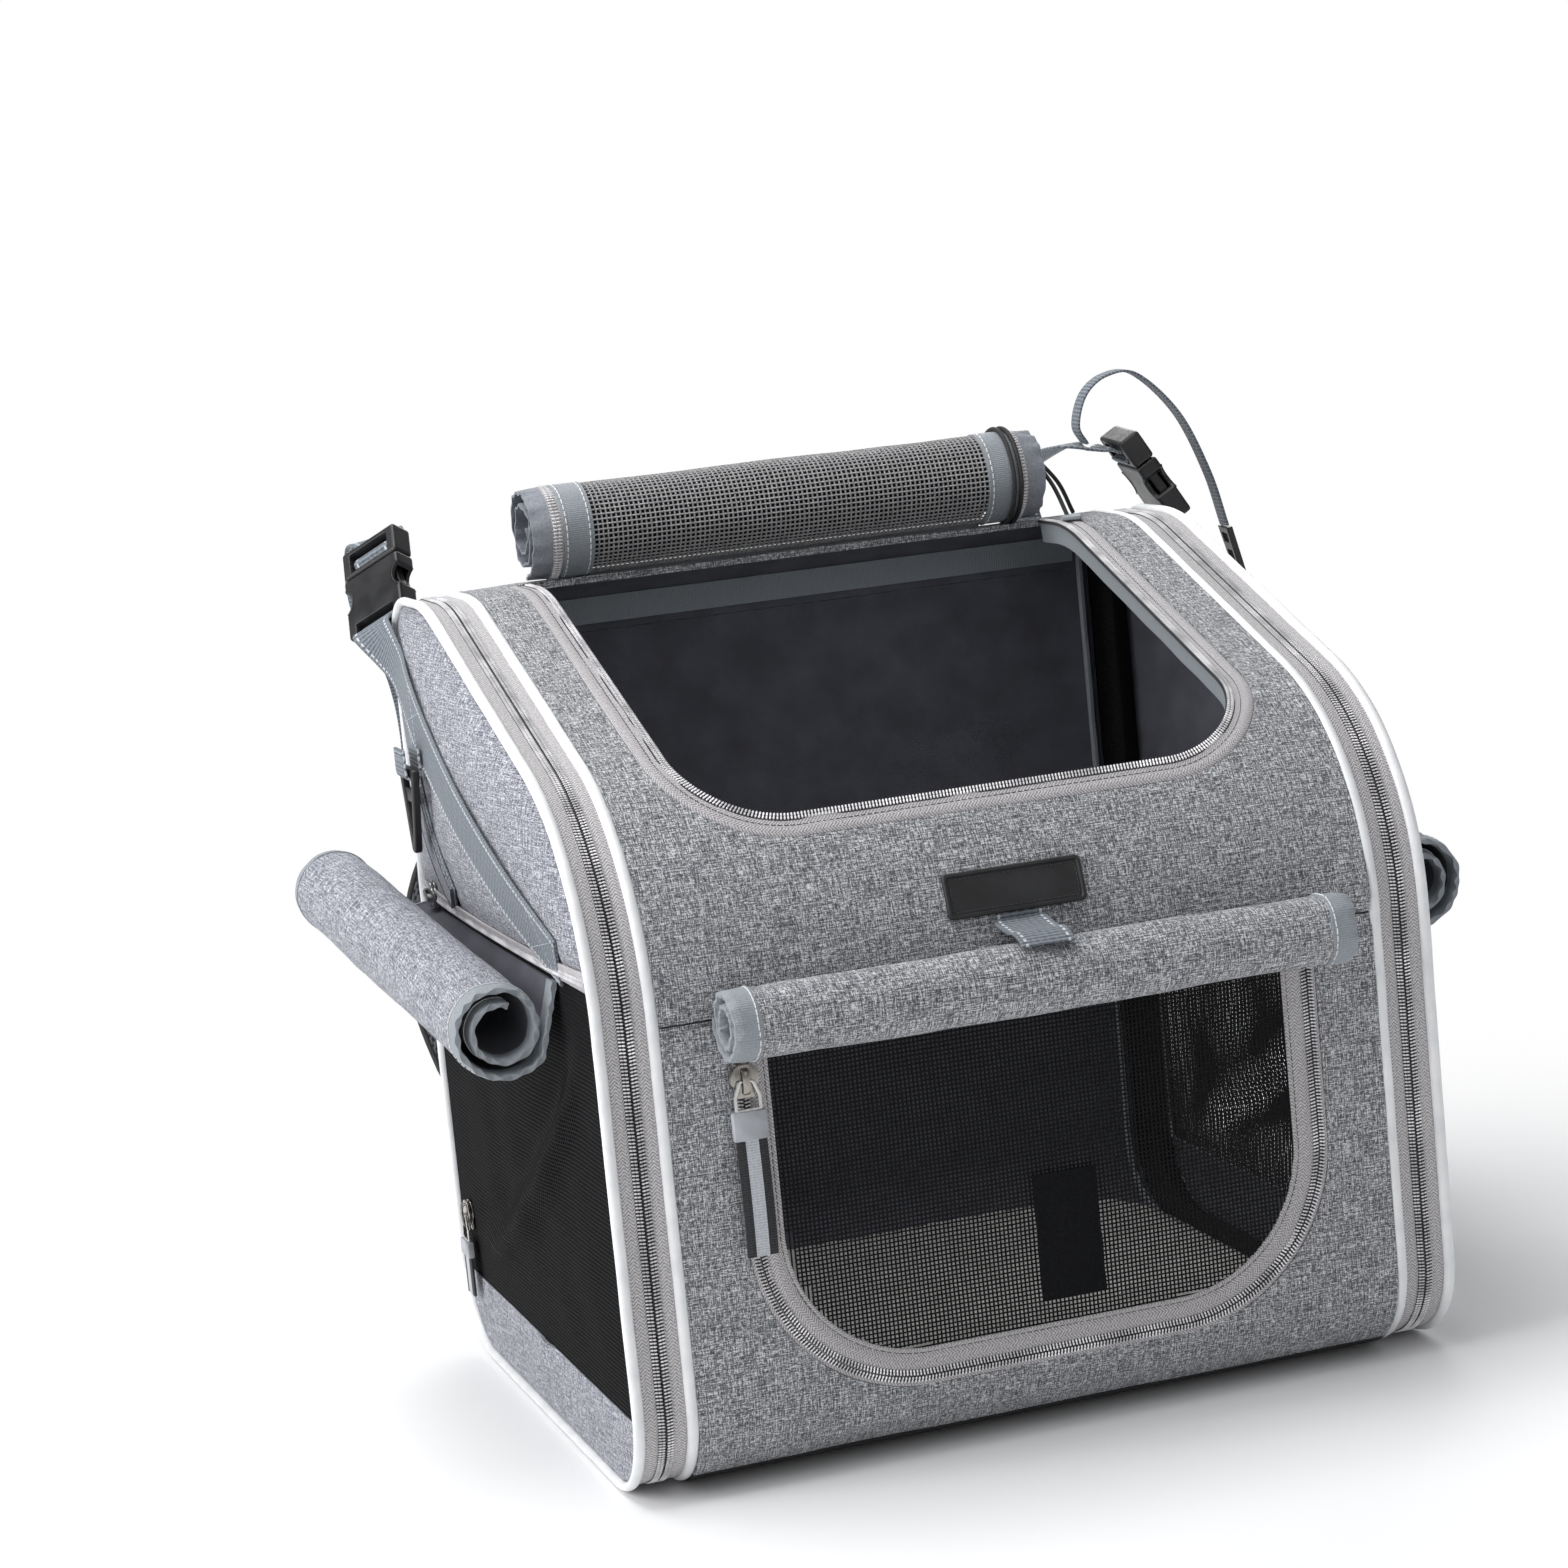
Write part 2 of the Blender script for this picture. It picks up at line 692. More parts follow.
def make_rims():
    for side, word in ((-1, "left"), (1, "right")):
        inner = circle_section(rim_inner, piping_inset, piping_radius, 8)
        outer = circle_section(rim_outer, piping_inset, piping_radius, 8)
        rim_ring(word + "_inner_piping", inner, reflective, side)
        rim_ring(word + "_outer_piping", outer, reflective, side)
        start = rim_inner + piping_radius + fit_gap
        end = rim_outer - piping_radius - fit_gap
        meet = fit_gap / 2
        rim_ring(word + "_inner_zip", zip_section(start, rim_middle - meet), zip_tape, side)
        rim_ring(word + "_outer_zip", zip_section(end, rim_middle + meet), zip_tape, side)
        wire = piping_inset + piping_radius + hoop_radius + fit_gap
        rim_ring(word + "_hoop", circle_section(rim_inner, wire, hoop_radius, 6), steel_wire, side)
        top = tape_inset + tape_thickness + fit_gap
        low = top + gusset_fold_depth
        thick = gusset_thickness
        middle = rim_middle
        section = [
            (start, top), (middle - thick, low - thick), (middle + thick, low - thick),
            (end, top), (end, top + 2 * thick), (middle + thick, low + thick),
            (middle - thick, low + thick), (start, top + 2 * thick),
        ]
        rim_ring(word + "_gusset", section, black_net, side)


# Front: doorway zip, mesh door, hook patch, bare patch, roll and tab


def u_ribbon(name, section, finish, top, origin=(0, 0, 0)):
    """A ribbon along the doorway's U, from a section of (inset, depth) points."""
    lines = [(-half_depth + depth, u_outline(inset, top)) for inset, depth in section]
    count = len(lines[0][1])
    rings = [[(line[k][0], y, line[k][1]) for y, line in lines] for k in range(count)]
    return loft(name, rings, finish, False, origin)


def tape_with_coil(outer, inner, coil_at_inner):
    """Section of a tape whose coil half stands proud of one edge, as (inset, depth)."""
    back = door_inset + tape_thickness
    proud = door_inset - coil_height
    if coil_at_inner:
        coil = inner - coil_half_width
        return [(outer, back), (outer, door_inset), (coil, door_inset),
                (share(coil_slope_share, coil, inner), proud), (inner, proud), (inner, back)]
    coil = outer + coil_half_width
    return [(outer, back), (outer, proud), (share(1 - coil_slope_share, outer, coil), proud),
            (coil, door_inset), (inner, door_inset), (inner, back)]


def door_hinge():
    return (0, -half_depth + door_inset, doorway_top)


def net_half_at(height, inset):
    """Half width of the door's net at a height, inside its rounded lower corners."""
    line = u_outline(inset, doorway_top)
    line = line[len(line) // 2:]
    for (x, z), (far_x, far_z) in zip(line, line[1:]):
        if height <= far_z:
            return share(max(height - z, 0) / (far_z - z), x, far_x)
    return line[-1][0]


def make_front():
    hinge = door_hinge()
    top = doorway_top - fit_gap
    frame_edge = fit_gap + doorway_tape_width
    u_ribbon("doorway_zip", tape_with_coil(fit_gap, frame_edge, True), zip_tape, top)
    door_edge = frame_edge + fit_gap
    net_edge = door_edge + door_tape_width
    u_ribbon("door_zip", tape_with_coil(door_edge, net_edge, False), zip_tape, top, hinge)

    inset = net_edge + fit_gap
    low = doorway_bottom + inset + fit_gap
    across = net_lines(door_net_columns, door_net_strand / (2 * net_half_at(top, inset)))
    along = net_lines(door_net_rows, door_net_strand / (top - low))
    front_y = -half_depth + door_inset

    def net_point(u, v):
        z = share(v, low, top)
        x = share(u, -1, 1) * net_half_at(z, inset)
        return (x, front_y, z), (x, front_y + door_net_thickness, z)

    mesh = grid_mesh("door_net", across, along, net_point, net_keep)
    place("door_net", mesh, black_net, hinge)

    patch_low = low + hook_patch_bottom_gap
    patch = (hook_patch_left, front_y - fit_gap - hook_patch_thickness, patch_low)
    far = (hook_patch_left + hook_patch_width, front_y - fit_gap, patch_low + hook_patch_height)
    rounded_box("hook_patch", patch, far, 0, black_fabric, 1, hinge)

    make_patch()
    make_front_roll()


def make_patch():
    """The bare patch has a raised border round a recessed face."""
    low = seam_to(patch_bottom_height)
    border_u = patch_border / patch_width
    border_v = patch_border / patch_height
    edge_u = border_u * border_slope_share
    edge_v = border_v * border_slope_share
    across = [0, border_u, edge_u, 1 - edge_u, 1 - border_u, 1]
    along = [0, border_v, edge_v, 1 / 2, 1 - edge_v, 1 - border_v, 1]

    def patch_point(u, v):
        inside = border_u < u < 1 - border_u and border_v < v < 1 - border_v
        height = patch_thickness - (patch_recess if inside else 0)
        x = share(u, -patch_width / 2, patch_width / 2)
        outer, out = over_top(low + v * patch_height, -fit_gap - height)
        inner, out = over_top(low + v * patch_height, -fit_gap)
        return (x, *outer), (x, *inner)

    place("blank_patch", grid_mesh("blank_patch", across, along, patch_point), rubber)


def spiral(radius, pitch, sheet, turns, start):
    """Middle line of a rolled sheet from outside to inside, as (across, up) offsets."""
    steps = round(turns * math.tau / roll_step)
    found = []
    for k in range(steps + 1):
        angle = start - math.tau * turns * k / steps
        reach = radius - sheet / 2 - pitch * turns * k / steps
        found.append((reach * math.cos(angle), reach * math.sin(angle)))
    return found


def sheet_rings(line, sheet, first_end, last_end):
    """Rings along a rolled sheet's line, between its two ends. Each end places a point."""
    rings = []
    for k, here in enumerate(line):
        before = Vector(line[max(k - 1, 0)])
        after = Vector(line[min(k + 1, len(line) - 1)])
        ahead = (after - before).normalized()
        off = Vector((-ahead.y, ahead.x)) * sheet / 2
        one = Vector(here) + off
        two = Vector(here) - off
        rings.append([first_end(one, k), last_end(one, k), last_end(two, k), first_end(two, k)])
    return rings


def gap_of(line, sheet, turns):
    """Least gap between a spiral's own turns, measured on its points."""
    per_turn = round((len(line) - 1) / turns)
    gaps = [(Vector(line[k]) - Vector(line[k + per_turn])).length - sheet
            for k in range(len(line) - per_turn)]
    return min(gaps)


def front_roll_axis():
    y = -half_depth - fit_gap - front_roll_radius
    return y, seam_height + front_roll_rise


def make_front_roll():
    line = spiral(front_roll_radius, front_roll_pitch, front_roll_sheet, front_roll_turns, 0.0)
    print("front roll gap", round(gap_of(line, front_roll_sheet, front_roll_turns), 5))
    y, z = front_roll_axis()

    def left(p, k):
        return (-front_roll_half_length, y + p.x, z + p.y)

    def right(p, k):
        return (front_roll_half_length, y + p.x, z + p.y)

    loft("front_cover_roll", sheet_rings(line, front_roll_sheet, left, right), heather)

    rise, out = over_top(seam_to(patch_bottom_height) - fit_gap * 4, -fit_gap - tab_thickness / 2)
    reach = front_roll_radius + fit_gap + tab_thickness / 2
    route = [(0, rise.x, rise.y)]
    for angle in tab_degrees:
        turn = math.radians(angle)
        route.append((0, y + reach * math.cos(turn), z + reach * math.sin(turn)))
    widths = [(1, 0, 0)] * len(route)
    strap("front_cover_tab", route, widths, tab_width, tab_thickness, blue_webbing, 2)


# Top opening zip, rolled top cover and its tie


def make_top():
    inset = fit_gap
    edge = inset + opening_tape_width
    coil = edge - coil_half_width
    back = opening_tape_inset + tape_thickness
    proud = opening_tape_inset - coil_height
    section = [(inset, back), (inset, opening_tape_inset), (coil, opening_tape_inset),
               (share(coil_slope_share, coil, edge), proud), (edge, proud), (edge, back)]
    lines = [opening_line(side, depth) for side, depth in section]
    rings = [[line[k] for line in lines] for k in range(len(lines[0]))]
    loft("opening_zip", rings, zip_tape)

    line = spiral(top_roll_radius, top_roll_pitch, top_roll_sheet, top_roll_turns, -math.pi / 2)
    print("top roll gap", round(gap_of(line, top_roll_sheet, top_roll_turns), 5))
    y, z = top_roll_axis()

    def left(p, k):
        return (-top_roll_half_length, y + p.x, z + p.y)

    def right(p, k):
        return (top_roll_half_length, y + p.x, z + p.y)

    loft("top_cover_roll", sheet_rings(line, top_roll_sheet, left, right), black_net)

    x = top_roll_half_length * tie_share
    route = []
    for angle in tie_degrees:
        turn = math.radians(angle)
        past = (-math.pi / 2 - turn) % math.tau / math.tau
        reach = top_roll_radius - top_roll_pitch * past + tie_gap + roll_tie_thickness / 2
        route.append((x, y + reach * math.cos(turn), z + reach * math.sin(turn)))
    widths = [(1, 0, 0)] * len(route)
    strap("top_cover_tie", route, widths, roll_tie_width, roll_tie_thickness, black_fabric, 2)


def top_roll_axis():
    y = half_depth - rear_top_radius - top_roll_rear
    return y, body_height + fit_gap + top_roll_radius


def opening_line(inset, depth, steps=8):
    """One line of the opening's zip, from rear left round the front to rear right."""
    radius = opening_radius - inset
    half = opening_half_width - inset
    front = opening_front() + inset
    right = []
    for k in range(steps + 1):
        angle = math.pi / 2 * k / steps
        right.append((half - radius + radius * math.sin(angle),
                      front + radius - radius * math.cos(angle)))
    extra = opening_run(right[-1][1]) + [opening_back() - fit_gap]
    right += [(half, distance) for distance in extra]
    both = [(-x, d) for x, d in reversed(right)] + right
    return [(x, *over_top(d, depth)[0]) for x, d in both]


# Side panels: upper part, window net, lower strip, rolled cover


def side_span(height, inset):
    """Front and rear of the side panel at a height."""
    line = full_outline(inset)
    hits = []
    for a, b in zip(line, line[1:] + line[:1]):
        if (a.y - height) * (b.y - height) <= 0 and a.y != b.y:
            hits.append(a.x + (b.x - a.x) * (height - a.y) / (b.y - a.y))
    return min(hits), max(hits)


def side_bulge_at(y, z):
    """How far the padded upper part of the side stands out at a place."""
    low = window_top
    high = body_height - side_inset
    v = min(max((z - low) / (high - low), 0.0), 1.0)
    front, rear = side_span(min(z, high - fit_gap), side_inset)
    u = min(max((y - front) / (rear - front), 0.0), 1.0)
    along = (4 * u * (1 - u)) ** bulge_power_share
    up = math.sin(math.pi * v ** bulge_lean_share) ** bulge_power_share
    return side_bulge * along * up


def side_point(side, y, z, out):
    """A place on the side's outer face, moved out from it."""
    return (side * (side_plane + side_bulge_at(y, z) + out), y, z)


def side_grid(name, side, low, high, rows, columns, finish, puff, thick, keep=None):
    def point(u, v):
        z = share(v, low, high)
        front, rear = side_span(z, side_inset)
        y = share(u, front, rear)
        out = puff(u, v, y, z)
        return (side * (side_plane + out), y, z), (side * (side_plane + out - thick), y, z)

    across = columns if isinstance(columns, list) else even(columns)
    return place(name, grid_mesh(name, across, rows, point, keep), finish)


def net_puff_at(y, z):
    """How far the window's net swells out at a place."""
    front, rear = side_span((window_bottom + window_top) / 2, side_inset)
    u = (y - front) / (rear - front)
    v = (z - window_bottom) / (window_top - window_bottom)
    return net_bulge * math.sin(math.pi * u) * math.sin(math.pi * v)


def make_side(side, word):
    top = body_height - side_inset - fit_gap
    rows = [1 - (1 - t) ** panel_row_power for t in even(panel_rows)]

    def top_puff(u, v, y, z):
        return side_bulge_at(y, z)

    side_grid(word + "_side_panel", side, window_top + fit_gap, top, rows, side_columns,
              side_heather, top_puff, side_sheet)

    def flat_puff(u, v, y, z):
        return 0.0

    bottom = rim_lift + side_inset + fit_gap
    rows = [t ** strip_row_power for t in even(strip_rows)]
    side_grid(word + "_side_strip", side, bottom, window_bottom - fit_gap, rows, side_columns,
              side_heather, flat_puff, side_sheet)

    front, rear = side_span((window_bottom + window_top) / 2, side_inset)
    across = net_lines(side_net_columns, side_net_strand / (rear - front))
    rows = net_lines(side_net_rows, side_net_strand / (window_top - window_bottom))

    def net_puff(u, v, y, z):
        return net_puff_at(y, z)

    side_grid(word + "_side_net", side, window_bottom, window_top, rows, across, black_net,
              net_puff, side_net_thickness, net_keep)
    make_side_roll(side, word)


def make_side_roll(side, word):
    """The cover hangs from above the window, passes under its roll and winds inwards."""
    start = math.radians(side_roll_start_degrees)
    line = spiral(side_roll_radius, side_roll_pitch, side_roll_sheet, side_roll_turns, start)
    print(word, "side roll gap", round(gap_of(line, side_roll_sheet, side_roll_turns), 5))
    tail = flap_steps
    seam_out = fit_gap + side_roll_sheet / 2
    seam_high = window_top - side_roll_sheet * seam_drop_share
    rings = []
    tracks = []
    for plane, (out, behind, above) in ((-half_depth, side_roll_front),
                                        (half_depth, side_roll_rear)):
        y = plane + behind
        z = window_top + above
        track = []
        join = (out - line[0][0], z + line[0][1])
        for k in range(tail):
            u = k / tail
            track.append(Vector((share(u, seam_out, join[0]), share(u, seam_high, join[1]))))
        track += [Vector((out - px, z + pz)) for px, pz in line]
        tracks.append((y, track))
    for k in range(len(line) + tail):
        ring = []
        for (y, track), order in ((tracks[0], (1, -1)), (tracks[1], (-1, 1))):
            ahead = (track[min(k + 1, len(track) - 1)] - track[max(k - 1, 0)]).normalized()
            off = Vector((-ahead.y, ahead.x)) * side_roll_sheet / 2
            for sign in order:
                point = track[k] + off * sign
                ring.append((side * (side_plane + point.x), y, point.y))
        rings.append(ring)
    loft(word + "_side_cover_roll", rings, side_heather)


# Base board and mat


def inner_span(height):
    """Front and rear of the room inside the body's skin at a height."""
    line = stretch((0, 0.0), (4, 1.0), wall + fit_gap)
    hits = []
    for a, b in zip(line, line[1:] + line[:1]):
        if (a.y - height) * (b.y - height) <= 0 and a.y != b.y:
            hits.append(a.x + (b.x - a.x) * (height - a.y) / (b.y - a.y))
    return min(hits), max(hits)


def make_base():
    z = wall + fit_gap
    half_x = panel_half - board_inset
    front, rear = inner_span(z)
    low = (-half_x, front + board_end_gap, z)
    high = (half_x, rear - board_end_gap, z + board_thickness)
    rounded_box("base_board", low, high, board_rounding, board_grey, 1)
    z += board_thickness + fit_gap
    front, rear = inner_span(z)
    make_mat(z, panel_half - mat_inset, front + mat_end_gap, rear - mat_end_gap)


def make_mat(z, half_x, front, rear):
    """A quilted mat with a crown and sides drawn in between its corners."""
    middle = (front + rear) / 2
    half_y = (rear - front) / 2
    rings = [cushion_ring(half_x * size, half_y * size, middle, z + mat_thickness * level)
             for level, size in mat_edge_shares]
    for size in mat_crown_shares:
        crown = mat_crown * (1 - size ** 2)
        rings.append(cushion_ring(half_x * size, half_y * size, middle,
                                  z + mat_thickness + crown))
    loft("fleece_mat", rings, fleece)


def cushion_ring(half_x, half_y, middle, z, count=40):
    """A squarish ring with rounded corners."""
    ring = []
    for k in range(count):
        angle = math.tau * (k + 0.5) / count
        c = math.cos(angle)
        s = math.sin(angle)
        x = half_x * math.copysign(abs(c) ** corner_power_share, c)
        y = half_y * math.copysign(abs(s) ** corner_power_share, s)
        ring.append((x, middle + y, z))
    return ring


# Buckle: a female shell that holds a male with two prongs, on webbing


def from_corner(side, out, behind, above):
    """A place given from the rear top corner of the body's side."""
    return Vector((side * (side_plane + out), half_depth + behind, body_height + above))


def buckle_matrix(side):
    """World matrix of a buckle: X across it, Y through it and Z from its mouth to the male."""
    mouth = from_corner(side, *buckle_place[side])
    width = Vector(buckle_width_shares[side]).normalized()
    length = Vector(buckle_length_shares[side])
    length = (length - width * length.dot(width)).normalized()
    turn = Matrix((width, length.cross(width), length)).transposed().to_4x4()
    return Matrix.Translation(mouth) @ turn


def disc(name, x, z, radius, depth):
    """A cutter with its axis along the buckle's thickness."""
    turns = [math.tau * k / disc_sides for k in range(disc_sides)]
    rings = [[(x + radius * math.cos(t), y, z + radius * math.sin(t)) for t in turns]
             for y in (-depth, depth)]
    return guide(name, loft_mesh(name, rings))


def guide(name, mesh):
    thing = bpy.data.objects.new(name, mesh)
    bpy.context.collection.objects.link(thing)
    return thing


def bar_cutters(name, low, slots):
    """Room for webbing round one bar: slots through the shell and a pocket on both faces."""
    half_t = buckle_thickness / 2
    tools = []
    for k, (start, end) in enumerate(slots):
        tools.append(rounded_box(name + "_slot_" + str(k), (-web_room, -cut_over, start),
                                 (web_room, cut_over, end), 0))
    high = max(end for start, end in slots)
    for word, near, far in (("front", -half_t - cut_over, -bar_half),
                            ("back", bar_half, half_t + cut_over)):
        tools.append(rounded_box(name + "_" + word, (-web_room, near, low),
                                 (web_room, far, high), 0))
    return tools


def make_female(side, word):
    half_w = buckle_width / 2
    half_t = buckle_thickness / 2
    name = word + "_buckle_female"
    shell = rounded_box(name, (-half_w, -half_t, -female_length), (half_w, half_t, 0),
                        buckle_rounding, black_plastic)
    room_w = half_w - buckle_wall
    room_t = half_t - buckle_wall
    socket_end = -(prong_length + fit_gap * 2)
    tools = [rounded_box(name + "_socket", (-room_w, -room_t, socket_end),
                         (room_w, room_t, cut_over), 0)]
    slot_end = -female_length + end_bar
    tools += bar_cutters(name, -female_length - cut_over, [(slot_end, slot_end + slot_height)])
    for way, tag in ((-1, "a"), (1, "b")):
        tools.append(disc(name + "_thumb_" + tag, way * (half_w + thumb_out), -thumb_down,
                          thumb_radius, cut_over))
    finish_buckle(side, shell, tools)


def make_male(side, word):
    half_w = buckle_width / 2 - fit_gap
    half_t = buckle_thickness / 2
    name = word + "_buckle_male"
    base = rounded_box(name, (-half_w, -half_t, fit_gap), (half_w, half_t, male_base_length),
                       buckle_rounding, black_plastic)
    fork = guide(name + "_fork", fork_mesh(name + "_fork"))
    combine(base, fork, "UNION")
    low = ladder_start
    high = low + slot_height + ladder_bar
    tools = bar_cutters(name, low, [(low, low + slot_height), (high, high + slot_height)])
    finish_buckle(side, base, tools)
    fork.matrix_world = buckle_matrix(side)


def finish_buckle(side, shell, tools):
    for tool in tools:
        combine(shell, tool, "DIFFERENCE")
    for thing in [shell] + tools:
        thing.matrix_world = buckle_matrix(side)


def fork_mesh(name):
    """Two springy prongs with rounded heads and a guide between them."""
    reach = buckle_width / 2 - buckle_wall - fit_gap
    half = guide_width / 2
    top = ladder_start * fork_root_share
    outline = [(half * a, -prong_length * b) for a, b in guide_shares]
    outline += [(reach - prong_width * a, -prong_length * b) for a, b in prong_shares]
    outline.append((reach - prong_width * prong_shares[-1][0], top))
    outline += [(-x, z) for x, z in reversed(outline)]
    t = prong_thickness / 2
    return loft_mesh(name, [[(x, y, z) for x, z in outline] for y in (-t, t)])


def edge_strap(name, stations, finish, steps):
    """Webbing given by the places of its two edges."""
    one = smooth_path([a for a, b in stations], steps)
    two = smooth_path([b for a, b in stations], steps)
    rings = []
    last = len(one) - 1
    for k, (a, b) in enumerate(zip(one, two)):
        low = max(k - 1, 0)
        high = min(k + 1, last)
        ahead = (one[high] + two[high] - one[low] - two[low]).normalized()
        off = ahead.cross(b - a).normalized() * webbing_thickness / 2
        rings.append([a - off, b - off, b + off, a + off])
    return loft(name, rings, finish)


def buckle_stations(side, points):
    """Both edges of webbing inside the buckle, at (through, along) points."""
    matrix = buckle_matrix(side)
    half = -side * webbing_width / 2
    return [(matrix @ Vector((half, y, z)), matrix @ Vector((-half, y, z))) for y, z in points]


def round_bar(middle, degrees):
    """Points round a buckle's bar, as (through, along), by angle from the back."""
    found = []
    for angle in degrees:
        turn = math.radians(angle)
        found.append((wrap_radius * math.cos(turn), middle + wrap_radius * math.sin(turn)))
    return found


def make_carry_webbing(side, word):
    """From the side panel's front, up its slope and round the buckle's end bar."""
    out = arm_clear + webbing_thickness / 2
    half = webbing_width / 2
    stations = []
    for along, drop in zip(arm_line_shares, arm_line_drops):
        y = half_depth * along
        z = body_height - drop
        a, b = arm_across_shares
        edges = [(y + a * half * k, z + b * half * k) for k in (1, -1)]
        stations.append(tuple(Vector(side_point(side, *edge, out)) for edge in edges))
    for pair in arm_rise[side]:
        stations.append(tuple(from_corner(side, *edge) for edge in pair))
    bar = -female_length + end_bar / 2
    turn = [(side * c, a) for c, a in round_bar(bar, wrap_degrees)]
    spread, drop = leg_place[side]
    leg = (side * (wrap_radius + spread), bar - drop)
    stations += buckle_stations(side, [leg] + turn)
    edge_strap(word + "_carry_webbing", stations, blue_webbing, 2)


def make_bar_webbing(side, word):
    """From behind the male, round its ladder bar, over the handlebar and down to the back."""
    bar = ladder_start + slot_height + ladder_bar / 2
    turn = round_bar(bar, ladder_degrees)
    tail = (turn[0][0] + tail_reach, turn[0][1])
    stations = buckle_stations(side, [tail] + turn + ladder_lead)
    for pair in bar_lead[side]:
        stations.append(tuple(from_corner(side, *edge) for edge in pair))
    inner, outer = bar_span[side]
    behind, above = bar_place
    y = half_depth + behind
    z = body_height + above
    reach = bar_loop_radius + webbing_thickness / 2

    def across(y, z):
        return (Vector((side * (side_plane + inner), y, z)),
                Vector((side * (side_plane + outer), y, z)))

    for angle in bar_degrees:
        turn = math.radians(angle)
        stations.append(across(y + reach * math.cos(turn), z + reach * math.sin(turn)))
    rear = half_depth - piping_inset + piping_radius + fit_gap + webbing_thickness / 2
    stations += [across(rear + off, body_height + above) for off, above in bar_anchor]
    edge_strap(word + "_bar_webbing", stations, blue_webbing, 2)


# D-ring in its webbing loop


def ring_axis(side):
    """Middle of the ring's top bar."""
    out = arm_clear + ring_clear + webbing_thickness * 2 + ring_bar / math.sqrt(2)
    return Vector(side_point(side, half_depth * ring_place_share, body_height - ring_below, out))


def make_ring(side, word):
    axis = ring_axis(side)
    deep = ring_bar / 2
    levels = [z for z, half in ring_row_shares]
    halves = [half for z, half in ring_row_shares]
    leg = ring_bar / ring_width * leg_share

    def ring_point(u, v):
        k = round(v * (len(levels) - 1))
        half = ring_width / 2 * halves[k]
        y = axis.y + share(u, -half, half)
        z = axis.z + deep - (ring_drop + deep) * levels[k]
        return (axis.x + side * deep, y, z), (axis.x - side * deep, y, z)

    def ring_keep(i, j):
        return not (i in (1, 2) and 0 < j < len(levels) - 3)

    across = [0, leg, 1 / 2, 1 - leg, 1]
    mesh = grid_mesh(word + "_d_ring", across, even(len(levels) - 1), ring_point, ring_keep)
    place(word + "_d_ring", mesh, black_plastic, axis)

    reach = ring_bar / math.sqrt(2) + fit_gap + webbing_thickness / 2
    half = loop_width / 2
    route = [(-reach, loop_rise)]
    for angle in loop_degrees:
        turn = math.radians(angle)
        route.append((reach * math.cos(turn), reach * math.sin(turn)))
    route.append((reach, loop_rise))
    stations = []
    for x, z in route:
        stations.append(tuple(axis + Vector((side * x, k * half, z)) for k in (-1, 1)))
    edge_strap(word + "_ring_webbing", stations, blue_webbing, 2)


# Tail of the right handlebar strap and the clip on its end


def make_tail():
    route = [from_corner(1, *point) for point in tail_line]
    half = Vector(tail_across_shares).normalized() * tail_width / 2
    edge_strap("right_tail_strap", [(p - half, p + half) for p in route], blue_webbing, 3)
    end = route[-1]
    ahead = (route[-1] - route[-2]).normalized()
    across = (half - ahead * half.dot(ahead)).normalized()
    deep = ahead.cross(across)
    start = end + ahead * clip_gap

    def clip_point(u, v):
        a = across * share(u, -clip_width / 2, clip_width / 2) * share(v, 1.0, clip_end_share)
        b = deep * clip_thickness / 2
        middle = start + ahead * clip_length * v
        return middle + a + b, middle + a - b

    def clip_keep(i, j):
        return not (i == 1 and j in (1, 3))

    mesh = grid_mesh("right_tail_clip", clip_across_shares, clip_along_shares, clip_point,
                     clip_keep)
    place("right_tail_clip", mesh, black_plastic)


# Shoulder straps on the back


def make_shoulder(side, word):
    """A bowed pad from the middle of the back to webbing near its lower corner."""
    face = half_depth + fit_gap
    route = []
    for (spread, height), (bow, size) in zip(shoulder_line, shoulder_shares):
        thick = share(size, webbing_thickness, pad_thickness)
        route.append(Vector((side * spread, face + thick / 2 + pad_bow * bow, height)))
    sizes = [size for bow, size in shoulder_shares]
    path = smooth_path(route, 2)
    rings = []
    for k, middle in enumerate(path):
        size = share(k / 2 - k // 2, sizes[k // 2], sizes[min(k // 2 + 1, len(sizes) - 1)])
        ahead = (path[min(k + 1, len(path) - 1)] - path[max(k - 1, 0)]).normalized()
        across = ahead.cross(Vector((0, 1, 0))).normalized()
        off = across.cross(ahead)
        a = across * share(size, webbing_width, pad_width) / 2
        b = off * share(size, webbing_thickness, pad_thickness) / 2
        rings.append([middle + a * p + b * q for p, q in pad_section_shares])
    loft(word + "_shoulder_strap", rings, air_mesh)

    low, high = route[-3], route[-2]
    ahead = (high - low).normalized()
    middle = (low + high) / 2
    across = Vector((1, 0, 0))
    off = Vector((0, ahead.z, -ahead.y))
    off = off if off.y > 0 else -off
    near = webbing_thickness / 2 + fit_gap
    far = near + adjuster_height

    def adjuster_point(u, v):
        spot = middle + across * share(u, -adjuster_width / 2, adjuster_width / 2)
        spot = spot + ahead * share(v, -adjuster_length / 2, adjuster_length / 2)
        return spot + off * far, spot + off * near

    def adjuster_keep(i, j):
        return not (i == 1 and j in (1, 3))

    mesh = grid_mesh(word + "_strap_adjuster", adjuster_across_shares, adjuster_along_shares,
                     adjuster_point, adjuster_keep)
    place(word + "_strap_adjuster", mesh, black_plastic)


# Zip sliders and pulls


def slider_frame(place_at, across, out):
    """World matrix with X across the slider, -Y away from the tape and Z up."""
    back = -Vector(out)
    turn = Matrix((Vector(across), back, Vector((0, 0, 1)))).transposed().to_4x4()
    return Matrix.Translation(Vector(place_at)) @ turn


